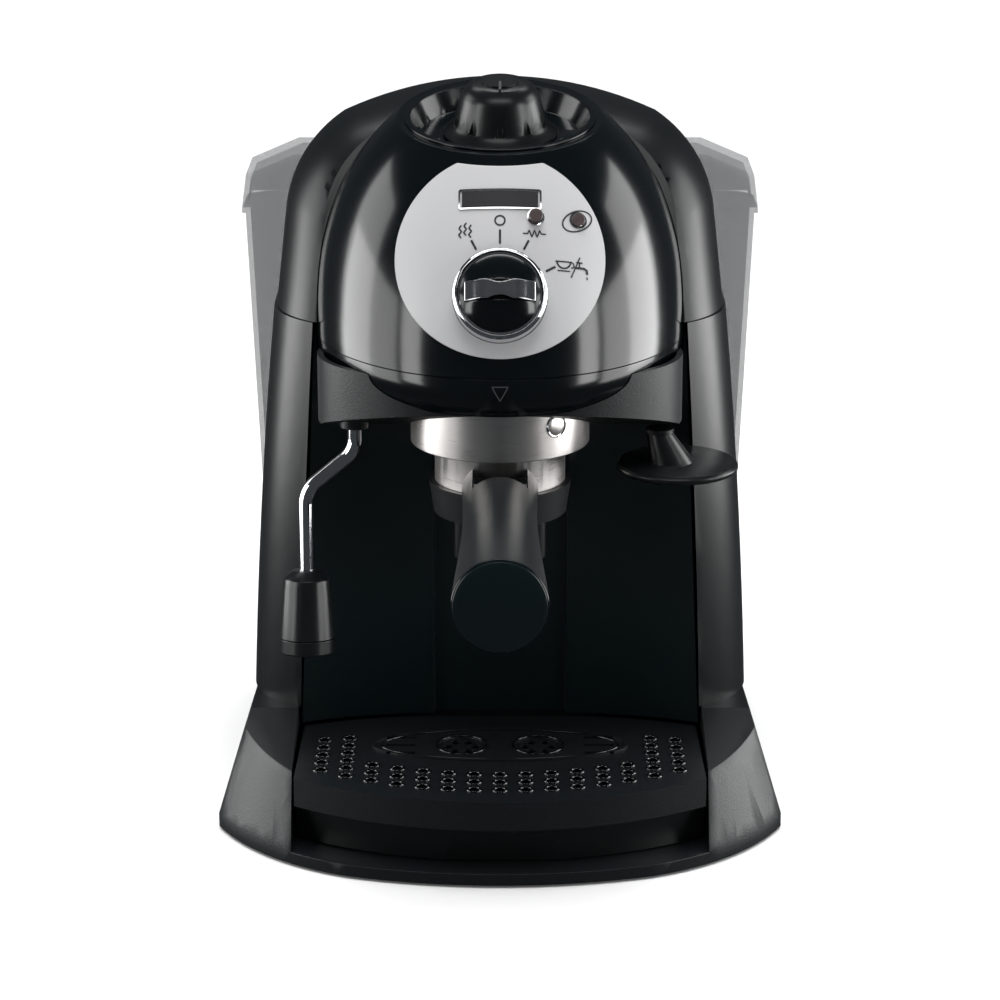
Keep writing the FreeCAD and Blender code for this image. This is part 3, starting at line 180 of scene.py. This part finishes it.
def metal(name, colour, roughness, brush=None, depth=0.00001):
    """Bare or plated metal; a brushed one has fine lines along the axis that isn't stretched."""
    finish = Finish(name)
    slow = finish.noise(30.0, 3.0)
    dark = tuple(part * (1 - METAL_SPREAD) for part in colour)
    light = tuple(min(1.0, part * (1 + METAL_SPREAD)) for part in colour)
    finish.set(Base_Color=finish.shades(dark, light, slow), Metallic=1.0)
    if brush:
        lines = finish.noise(60.0, 4.0, brush)
        finish.set(Roughness=roughness - 0.08 + lines * 0.16, Normal=finish.bump(lines, depth))
    else:
        finish.set(Roughness=roughness + slow * 0.03)
    return finish.material


def smoke_clear():
    """The tank's tinted clear plastic, seen through."""
    finish = Finish("smoke_clear")
    slow = finish.noise(18.0, 3.0)
    finish.set(Base_Color=finish.shades((0.17, 0.175, 0.18), (0.21, 0.215, 0.22), slow),
               Roughness=0.16 + slow * 0.03, Alpha=0.47)
    return finish.material


def lit_lens():
    finish = Finish("lamp_lens")
    slow = finish.noise(400.0, 2.0)
    finish.set(Base_Color=finish.shades((0.03, 0.025, 0.025), (0.07, 0.05, 0.05), slow), Roughness=0.08,
               Coat_Weight=1.0, Coat_Roughness=0.02)
    return finish.material


FINISHES = {
    "black_satin": plastic("black_satin", (0.003, 0.0038, 0.0042), 0.3, 2200.0, 0.000012),
    "black_texture": plastic("black_texture", (0.004, 0.0052, 0.006), 0.42, 1500.0, 0.00009),
    "black_gloss": plastic("black_gloss", (0.001, 0.002, 0.0024), 0.16, coat=0.2),
    "panel_black": plastic("panel_black", (0.001, 0.005, 0.006), 0.3, 1800.0, 0.000006),
    "silver_paint": plastic("silver_paint", (0.35, 0.35, 0.355), 0.38, 2600.0, 0.000006, spread=0.03),
    "chrome": metal("chrome", (0.86, 0.86, 0.88), 0.05),
    "stainless": metal("stainless", (0.94, 0.9, 0.87), 0.3, (1, 1, 60), 0.000004),
    "aluminium_cast": metal("aluminium_cast", (0.62, 0.62, 0.62), 0.42, (1, 1, 1), 0.00006),
    "brass_part": metal("brass_part", (0.7, 0.5, 0.22), 0.28, (1, 1, 40)),
    "smoke_clear": smoke_clear(),
    "rubber_black": plastic("rubber_black", (0.012, 0.012, 0.012), 0.78, 1200.0, 0.00003),
    "silicone_red": plastic("silicone_red", (0.5, 0.09, 0.05), 0.55, 900.0, 0.00002),
    "hose_white": plastic("hose_white", (0.76, 0.76, 0.72), 0.4, 600.0, 0.00001),
    "lamp_lens": lit_lens(),
    "board_green": plastic("board_green", (0.03, 0.18, 0.07), 0.4, 700.0, 0.00002),
    "steel_zinc": metal("steel_zinc", (0.56, 0.57, 0.6), 0.34, (1, 1, 8)),
    "ptfe_white": plastic("ptfe_white", (0.74, 0.74, 0.7), 0.5, 500.0, 0.00001),
    "dark_ink": plastic("dark_ink", (0.012, 0.012, 0.014), 0.5, 900.0, 0.000004),
    "pale_ink": plastic("pale_ink", (0.03, 0.032, 0.035), 0.45, 900.0, 0.000004),
}


# ---------------------------------------------------------------- pieces

CREASE = 35.0
PACKED_CREASE = 34.0
ROUND_CREASE = 60


def as_piece(name, form, body, finish, crease=CREASE):
    """Turn a bmesh into a finished piece that rides on a body."""
    mesh = bpy.data.meshes.new(name)
    form.to_mesh(mesh)
    form.free()
    for face in mesh.polygons:
        face.use_smooth = True
    mesh.set_sharp_from_angle(angle=math.radians(crease))
    mesh.materials.append(FINISHES[finish])
    piece = bpy.data.objects.new(name, mesh)
    bpy.context.collection.objects.link(piece)
    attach(piece, body)
    return piece


def refined(node, edge):
    """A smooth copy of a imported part, with its hard edges rounded, that stands for it."""
    form = bmesh.new()
    form.from_mesh(nodes[node].data)
    bmesh.ops.remove_doubles(form, verts=form.verts[:], dist=2e-6)
    bmesh.ops.dissolve_limit(form, angle_limit=math.radians(0.4), verts=form.verts[:], edges=form.edges[:],
                             delimit={"NORMAL"})
    slot = slot_of[node]
    piece = as_piece("fine_" + node, form, body_of[node], slot, PACKED_CREASE)
    if edge:
        round_off = piece.modifiers.new("round_off", "BEVEL")
        round_off.width = edge * MM
        round_off.segments = 2
        round_off.limit_method = "ANGLE"
        round_off.angle_limit = math.radians(PACKED_CREASE)
        round_off.harden_normals = True
    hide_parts(node)


def surface_tree(*names):
    """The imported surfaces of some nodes, for laying thin marks on them."""
    form = bmesh.new()
    for name in names:
        form.from_mesh(nodes[name].data)
    tree = BVHTree.FromBMesh(form)
    form.free()
    return tree


RAY_REACH = 30 * MM


class Plane:
    """A drawing plane on the machine: right, up and outward directions from a point."""

    def __init__(self, origin, up, outward):
        self.frame = Matrix((Vector((1, 0, 0)), Vector(up), Vector(outward))).transposed().to_4x4()
        self.frame.translation = Vector(origin)
        self.outward = Vector(outward)

    def lay(self, form, tree, lift):
        """Drop every point onto the surface, then lift it by a hair."""
        for vert in form.verts:
            vert.co = self.frame @ vert.co
            hit = tree.ray_cast(vert.co + self.outward * RAY_REACH, -self.outward)
            if hit[0] is not None:
                vert.co = hit[0] + self.outward * lift


def finer(points, closed, step=0.6):
    """The same line with points close together, so that it can follow a curved surface."""
    ends = points[1:] + points[:1] if closed else points[1:]
    line = []
    for start, end in zip(points, ends):
        start, end = Vector(start), Vector(end)
        parts = max(1, math.ceil((end - start).length / step))
        line += [start.lerp(end, share / parts) for share in range(parts)]
    return line if closed else line + [Vector(points[-1])]


def strip(form, points, width, closed=False):
    """A flat ribbon of one width along points in the drawing plane, in millimetres."""
    points = finer(list(points), closed)
    count = len(points)
    rails = []
    for index, point in enumerate(points):
        here = Vector(point)
        before = Vector(points[index - 1]) if index or closed else here
        after = Vector(points[(index + 1) % count]) if index < count - 1 or closed else here
        along = (after - before).normalized()
        side = Vector((-along.y, along.x)) * width / 2
        rails.append([form.verts.new(((here + side * sign).x * MM, (here + side * sign).y * MM, 0))
                      for sign in (1, -1)])
    pairs = list(zip(rails, rails[1:]))
    if closed:
        pairs.append((rails[-1], rails[0]))
    for (left, right), (next_left, next_right) in pairs:
        form.faces.new((right, next_right, next_left, left))


def arc_points(x, y, radius, start, end, steps, squeeze=1.0, turn=0.0):
    """Points along part of a circle or oval, in millimetres and degrees."""
    points = []
    for index in range(steps + 1):
        angle = math.radians(start + (end - start) * index / steps)
        u, v = radius * math.cos(angle), radius * squeeze * math.sin(angle)
        c, s = math.cos(math.radians(turn)), math.sin(math.radians(turn))
        points.append((x + u * c - v * s, y + u * s + v * c))
    return points


def thicken(form, amount, outward):
    """Give flat ribbons a little body, away from the surface they lie on."""
    made = bmesh.ops.extrude_face_region(form, geom=form.faces[:])
    raised = [item for item in made["geom"] if isinstance(item, bmesh.types.BMVert)]
    bmesh.ops.translate(form, verts=raised, vec=outward * amount)
    bmesh.ops.recalc_face_normals(form, faces=form.faces[:])


def spun_ring(form, spot, major, minor, steps, sides):
    """Add a small circle spun once about Z round a spot."""
    made = bmesh.ops.create_circle(form, segments=sides, radius=minor, matrix=spot
                                   @ Matrix.Translation((major, 0, 0)) @ STANDING)
    edges = list({edge for vert in made["verts"] for edge in vert.link_edges})
    bmesh.ops.spin(form, geom=made["verts"] + edges, cent=spot.translation, axis=(0, 0, 1), angle=FULL_TURN,
                   steps=steps, use_merge=True)


def ring_form(major, minor, steps, sides):
    """A ring about Z: a small circle spun once round."""
    form = bmesh.new()
    spun_ring(form, Matrix(), major, minor, steps, sides)
    bmesh.ops.remove_doubles(form, verts=form.verts[:], dist=1e-6)
    bmesh.ops.recalc_face_normals(form, faces=form.faces[:])
    return form


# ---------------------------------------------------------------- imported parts

OUTER_PARTS = {
    # node: rounding of its hard edges in millimetres
    "base_skirt": 0.5, "rubber_feet": 0.3, "drip_tray": 0.4, "drip_grid": 0.2,
    "side_housing": 0.5, "top_cover": 0.6, "splash_panel": 0.3,
    "head_cover": 0.25, "head_skirt": 0.3, "head_underside": 0.4, "control_plate": 0.12, "knob_dish": 0.3,
    "dial_bezel": 0.2, "dial_knob": 0.3, "dial_grip_bar": 0.3, "indicator_lenses": 0.3,
    "steam_knob": 0.35, "group_ring": 0.4, "filter_holder": 0.25, "filter_basket": 0.1,
    "filter_collar": 0.4, "spout": 0.4, "handle": 0.35, "handle_end_cap": 0.25, "filter_clip": 0.35,
    "tamper": 0.2, "wand_bush": 0.3, "wand_tube": 0.0, "wand_tip": 0.2, "frother_sleeve": 0.25,
    "frother_ring": 0.3, "water_tank": 0.3, "tank_lid": 0.4, "cord_inlet": 0.3, "base_plate": 0.2,
}

for node, edge in OUTER_PARTS.items():
    refined(node, edge)

for node, item in nodes.items():
    if node not in OUTER_PARTS:
        item.data.materials.clear()
        item.data.materials.append(FINISHES[slot_of[node]])


# ---------------------------------------------------------------- control plate marks

DIAL_PLACE = (0, -0.097, 0.2345)
DIAL_TILT = math.radians(63)
TICK_START = 20
TICK_END = 24.2
OFF_TICK_END = 25.6
SKIN = 0.02 * MM
DIAL_UP = (0, math.cos(DIAL_TILT), math.sin(DIAL_TILT))
DIAL_OUT = (0, -math.sin(DIAL_TILT), math.cos(DIAL_TILT))
dial_plane = Plane(DIAL_PLACE, DIAL_UP, DIAL_OUT)
plate_surface = surface_tree("control_plate")


def on_bearing(angle, radius):
    """A point round the dial, clockwise from the top, in millimetres."""
    turn = math.radians(angle)
    return radius * math.sin(turn), radius * math.cos(turn)


def mark(name, ribbons, finish="dark_ink", lift=0.1, height=0.06):
    """Printed lines on the control plate: each ribbon is (points, width, closed)."""
    form = bmesh.new()
    for points, width, closed in ribbons:
        strip(form, points, width, closed)
    dial_plane.lay(form, plate_surface, lift * MM)
    thicken(form, height * MM, dial_plane.outward)
    return as_piece(name, form, "machine", finish)


def ticks():
    """One line at each setting, the off line a little longer."""
    lines = []
    for angle, far in ((-27, TICK_END), (0, OFF_TICK_END), (27, TICK_END), (61, TICK_END)):
        start, end = Vector(on_bearing(angle, TICK_START)), Vector(on_bearing(angle, far))
        lines.append(([start.lerp(end, share / 4) for share in range(5)], 0.8, False))
    return lines


def moved(points, x, y):
    return [(x + point[0], y + point[1]) for point in points]


def between(corners, parts):
    """A closed line through corners, with each of its runs in equal parts."""
    line = []
    for index, corner in enumerate(corners):
        following = Vector(corners[(index + 1) % len(corners)])
        line += [Vector(corner).lerp(following, share / parts) for share in range(parts)]
    return line


mark("setting_ticks", ticks())
mark("off_symbol", [(arc_points(0, 29.3, 1.9, 0, 330, 22), 0.6, True)])

steam_x, steam_y = on_bearing(-27, 28.6)
puff = [(0, -2.4), (-0.9, -1.2), (0.2, 0.1), (-0.8, 1.4), (0.1, 2.6)]
puffs = [(moved(puff, steam_x + step, steam_y + rise), 0.55, False)
         for step, rise in ((-1.9, -0.4), (0, 0.5), (1.9, -0.4))]
mark("steam_symbol", puffs)

element_x, element_y = on_bearing(28.5, 27.6)
zigzag = [(-4.4, 0), (-2.6, 0), (-2.0, 1.4), (-1.0, -1.4), (0, 1.4), (1.0, -1.4), (2.0, 1.4),
          (2.6, 0), (4.4, 0)]
mark("element_symbol", [(moved(zigzag, element_x, element_y), 0.5, False)])

cup_x, cup_y = 27.0, 14.0
cup_lines = [
    (moved(arc_points(0, 0, 2.6, 180, 360, 14), cup_x - 2.6, cup_y), 0.6, False),
    (moved([(-3.2, 0), (-1.6, 0), (0, 0), (1.6, 0), (3.2, 0)], cup_x - 2.6, cup_y), 0.5, False),
    (moved(arc_points(0, 0, 1.1, -90, 90, 8), cup_x + 0.2, cup_y - 1.2), 0.45, False),
    (moved([(-2.4, 0), (0, 0), (2.4, 0)], cup_x - 2.6, cup_y - 3.6), 0.45, False),
]
mark("cup_symbol", cup_lines)
tap_x, tap_y = 31.8, 12.0
tap_lines = [
    (moved([(-3.4, 0), (-1.6, 0), (0.4, 0), (1.4, -0.6), (1.6, -2.2)], tap_x, tap_y), 0.9, False),
    (moved([(-1.4, 0.2), (-1.4, 1.1), (-1.4, 2.0)], tap_x, tap_y), 0.6, False),
    (moved([(-2.6, 2.1), (-1.4, 2.1), (-0.2, 2.1)], tap_x, tap_y), 0.6, False),
    (moved([(1.6, -3.2), (1.6, -4.2)], tap_x, tap_y), 0.5, False),
]
mark("tap_symbol", tap_lines)
cut_line = [Vector((27.2, 8.0)).lerp(Vector((30.6, 16.2)), share / 8) for share in range(9)]
mark("cup_tap_line", [(cut_line, 0.5, False)])

mark("ready_outline", [(arc_points(29.6, 30.6, 6.0, 0, 354, 59, squeeze=0.64, turn=28), 0.55, True)])


PLAQUE_MIDDLE = 38.1
PLAQUE_WIDTH = 29.2
PLAQUE_HEIGHT = 6.4
PLAQUE_RAISE = 0.5


def plaque():
    """A plain raised plaque without a name, on the plate above the dial."""
    form = bmesh.new()
    bmesh.ops.create_grid(form, x_segments=30, y_segments=8, size=0.5,
                          matrix=Matrix.Translation((0, PLAQUE_MIDDLE * MM, 0))
                          @ Matrix.Diagonal((PLAQUE_WIDTH * MM, PLAQUE_HEIGHT * MM, 1, 1)))
    dial_plane.lay(form, plate_surface, SKIN)
    thicken(form, PLAQUE_RAISE * MM, dial_plane.outward)
    piece = as_piece("blank_plaque", form, "machine", "dark_ink")
    bevel = piece.modifiers.new("round_off", "BEVEL")
    bevel.width, bevel.segments, bevel.limit_method = 0.2 * MM, 2, "ANGLE"


plaque()
rim_points = [(-15.2, 34.3), (0, 34.3), (15.2, 34.3), (15.6, 34.7), (15.6, 38.1), (15.6, 41.5),
              (15.2, 41.9), (0, 41.9), (-15.2, 41.9), (-15.6, 41.5), (-15.6, 38.1), (-15.6, 34.7)]
plaque_rail = between(rim_points, 4)
mark("plaque_rim", [(plaque_rail, 0.6, True)], "chrome", height=PLAQUE_RAISE)


def lamp_rim(name, x, y, radius):
    """A thin bright ring round a lamp lens."""
    form = bmesh.new()
    strip(form, arc_points(x, y, radius, 0, 345, 23), 0.5, True)
    dial_plane.lay(form, plate_surface, SKIN)
    thicken(form, 0.35 * MM, dial_plane.outward)
    as_piece(name, form, "machine", "chrome")


lamp_rim("lamp_rim_heat", 13.7, 31, 3.1)
lamp_rim("lamp_rim_ready", 30, 31, 3.1)


# ---------------------------------------------------------------- head mark

skirt_plane = Plane((0, -0.107, 0.1975), (0, 0, 1), (0, -1, 0))
form = bmesh.new()
strip(form, between([(-3.1, 2.6), (3.1, 2.6), (0, -2.9)], 6), 0.45, True)
skirt_plane.lay(form, surface_tree("head_skirt", "head_cover"), SKIN)
thicken(form, 0.05 * MM, skirt_plane.outward)
as_piece("lock_mark", form, "machine", "pale_ink")


# ---------------------------------------------------------------- dial, knob and handle trim

form = ring_form(15.75 * MM, 0.42 * MM, 72, 10)
bmesh.ops.transform(form, matrix=dial_plane.frame @ Matrix.Translation((0, 0, 2.5 * MM)),
                    verts=form.verts[:])
as_piece("dial_rim", form, "selector", "chrome")

KNOB_PLACE = (0, -0.025, 0.2893)
KNOB_TILT = math.radians(10)
POINTER_SIZE = (1.1 * MM, 9.5 * MM, 0.9 * MM)
POINTER_PLACE = (0, -0.0055, 0.01505)
knob_frame = Matrix.Translation(KNOB_PLACE) @ Matrix.Rotation(KNOB_TILT, 4, "X")

form = bmesh.new()
bmesh.ops.create_cube(form, size=1.0, matrix=Matrix.Diagonal((*POINTER_SIZE, 1)))
bmesh.ops.subdivide_edges(form, edges=form.edges[:], cuts=2, use_grid_fill=True)
bmesh.ops.bevel(form, geom=form.edges[:], offset=0.05 * MM, segments=1, profile=0.5, affect="EDGES",
                material=-1)
bmesh.ops.transform(form, matrix=knob_frame @ Matrix.Translation(POINTER_PLACE), verts=form.verts[:])
as_piece("knob_pointer", form, "steam_tap", "pale_ink")

cap_low, cap_high = (Vector(corner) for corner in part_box("handle_end_cap"))
cap_middle = (cap_low + cap_high) / 2
cap_frame = Matrix.Translation((cap_middle.x, cap_high.y, cap_middle.z)) @ STANDING
cap_radius = (cap_high.x - cap_low.x) / 2

form = ring_form(cap_radius - 0.25 * MM, 0.35 * MM, 72, 10)
bmesh.ops.transform(form, matrix=cap_frame @ Matrix.Translation((0, 0, 1.2 * MM)), verts=form.verts[:])
as_piece("handle_rim", form, "portafilter", "black_gloss")

# painted highlight: two pale crescents on the dish floor, one on each side in front of the knob, stand in
# for the crescent highlights the dish shows there
dish_plane = Plane(knob_frame.translation, knob_frame.to_3x3() @ Vector((0, 1, 0)),
                   knob_frame.to_3x3() @ Vector((0, 0, 1)))
dish_surface = surface_tree("knob_dish")
for side, name in ((-1, "dish_painted_highlight_left"), (1, "dish_painted_highlight_right")):
    form = bmesh.new()
    outer_line = [(side * x, y) for x, y in arc_points(0, 0, 30.4, -62, -8, 24)]
    inner_line = [(side * x, y) for x, y in reversed(arc_points(0, 0, 24.6, -56, -14, 24))]
    strip(form, outer_line + inner_line, 0.5, True)
    dish_plane.lay(form, dish_surface, 0.03 * MM)
    thicken(form, 0.12 * MM, dish_plane.outward)
    as_piece(name, form, "machine", "pale_ink")

# a small round boss on the group ring
ring_low, ring_high = (Vector(corner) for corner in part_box("group_ring"))
ring_middle = (ring_low + ring_high) / 2
ring_radius = (ring_high.x - ring_low.x) / 2
BOSS_BEARING = math.radians(38)
BOSS_HEIGHT = 13 * MM
BOSS_RADIUS = 4.0 * MM
boss_frame = (Matrix.Translation((ring_middle.x, ring_middle.y, ring_low.z + BOSS_HEIGHT))
              @ Matrix.Rotation(BOSS_BEARING, 4, "Z") @ Matrix.Translation((0, 0.1 * MM - ring_radius, 0))
              @ STANDING)
form = ring_form(4.3 * MM, 0.5 * MM, 40, 8)
bmesh.ops.transform(form, matrix=boss_frame, verts=form.verts[:])
as_piece("group_boss_rim", form, "machine", "chrome")
form = bmesh.new()
bmesh.ops.create_uvsphere(form, u_segments=32, v_segments=16, radius=BOSS_RADIUS,
                          matrix=boss_frame @ Matrix.Diagonal((1, 1, 0.2, 1)))
bmesh.ops.recalc_face_normals(form, faces=form.faces[:])
as_piece("group_boss", form, "machine", "stainless", ROUND_CREASE)


# ---------------------------------------------------------------- drip grid detail

GRID_TOP = 0.0353
HOLE_PITCH = 10.3
HOLE_ARC = 132.0
ROW_PITCH = 8.2
FRONT_ROW = -105.0
HOLES_IN_COLUMN = {7: 5, 6: 6}
HOLES_ELSEWHERE = 3
DISHES_Y = -56 * MM
DISH_X = 15.6 * MM
OVAL_SQUEEZE = 0.34

form = bmesh.new()
for column in range(-7, 8):
    x = HOLE_PITCH * column
    sag = HOLE_ARC - math.sqrt(HOLE_ARC ** 2 - x ** 2)
    for line in range(HOLES_IN_COLUMN.get(abs(column), HOLES_ELSEWHERE)):
        spot = Matrix.Translation((x * MM, (sag + ROW_PITCH * line + FRONT_ROW) * MM, GRID_TOP))
        spun_ring(form, spot, 2.6 * MM, 0.7 * MM, 16, 6)
bmesh.ops.remove_doubles(form, verts=form.verts[:], dist=1e-6)
bmesh.ops.recalc_face_normals(form, faces=form.faces[:])
as_piece("drain_rims", form, "grid", "black_gloss", ROUND_CREASE)

for side, name in ((-1, "cup_dish_rim_left"), (1, "cup_dish_rim_right")):
    form = ring_form(10.2 * MM, 0.45 * MM, 56, 8)
    bmesh.ops.translate(form, verts=form.verts[:], vec=(side * DISH_X, DISHES_Y, GRID_TOP))
    as_piece(name, form, "grid", "black_gloss", ROUND_CREASE)

form = ring_form(48.5 * MM, 0.5 * MM, 96, 8)
bmesh.ops.transform(form, matrix=Matrix.Translation((0, DISHES_Y, GRID_TOP))
                    @ Matrix.Diagonal((1, OVAL_SQUEEZE, 1, 1)), verts=form.verts[:])
as_piece("oval_rim", form, "grid", "black_gloss", ROUND_CREASE)


# ---------------------------------------------------------------- floor and lights

FLOOR_REACH = 6.0
WORLD_TINT = (0.85, 0.93, 1.0, 1)

floor_form = bmesh.new()
bmesh.ops.create_grid(floor_form, x_segments=1, y_segments=1, size=FLOOR_REACH)
floor_mesh = bpy.data.meshes.new("floor")
floor_form.to_mesh(floor_mesh)
floor_form.free()
floor = bpy.data.objects.new("floor", floor_mesh)
floor_finish = Finish("floor_white")
floor_finish.set(Base_Color=(0.55, 0.55, 0.55, 1), Roughness=0.9, Emission_Color=(1, 1, 1, 1),
                 Emission_Strength=0.05, Specular_IOR_Level=0.0)
floor_mesh.materials.append(floor_finish.material)
bpy.context.collection.objects.link(floor)
floor.visible_glossy = False

world = bpy.data.worlds.new("studio")
world.use_nodes = True
backdrop = world.node_tree.nodes["Background"]
backdrop.inputs["Color"].default_value = WORLD_TINT
backdrop.inputs["Strength"].default_value = 0.05
bpy.context.scene.world = world

sky_data = bpy.data.lights.new("overhead", "SUN")
sky_data.energy = 5.4
sky_data.angle = math.radians(50)
sky = bpy.data.objects.new("overhead", sky_data)
sky.visible_glossy = False
bpy.context.collection.objects.link(sky)

# place, point aimed at, width, height, power
soft_light("left_softbox", (-1.35, 0.35, 0.45), (0, -0.05, 0.2), 0.7, 1.2, 7)
soft_light("right_softbox", (1.35, 0.35, 0.45), (0, -0.05, 0.2), 0.7, 1.2, 9)
soft_light("left_front", (-1.3, -0.75, 0.4), (0, -0.08, 0.18), 0.35, 0.9, 5)
soft_light("right_front", (1.3, -0.75, 0.4), (0, -0.08, 0.18), 0.35, 0.9, 6)
soft_light("left_card", (-0.62, -0.02, 0.2), (0, -0.08, 0.19), 0.5, 0.36, 1.7)
soft_light("right_card", (0.62, -0.02, 0.2), (0, -0.08, 0.19), 0.5, 0.36, 2.2)
soft_light("overhead_front", (0, -0.95, 1.35), (0, -0.05, 0.1), 1.3, 0.4, 4)
soft_light("overhead_rear", (0, 0.6, 1.25), (0, 0, 0.25), 1.4, 0.25, 4)
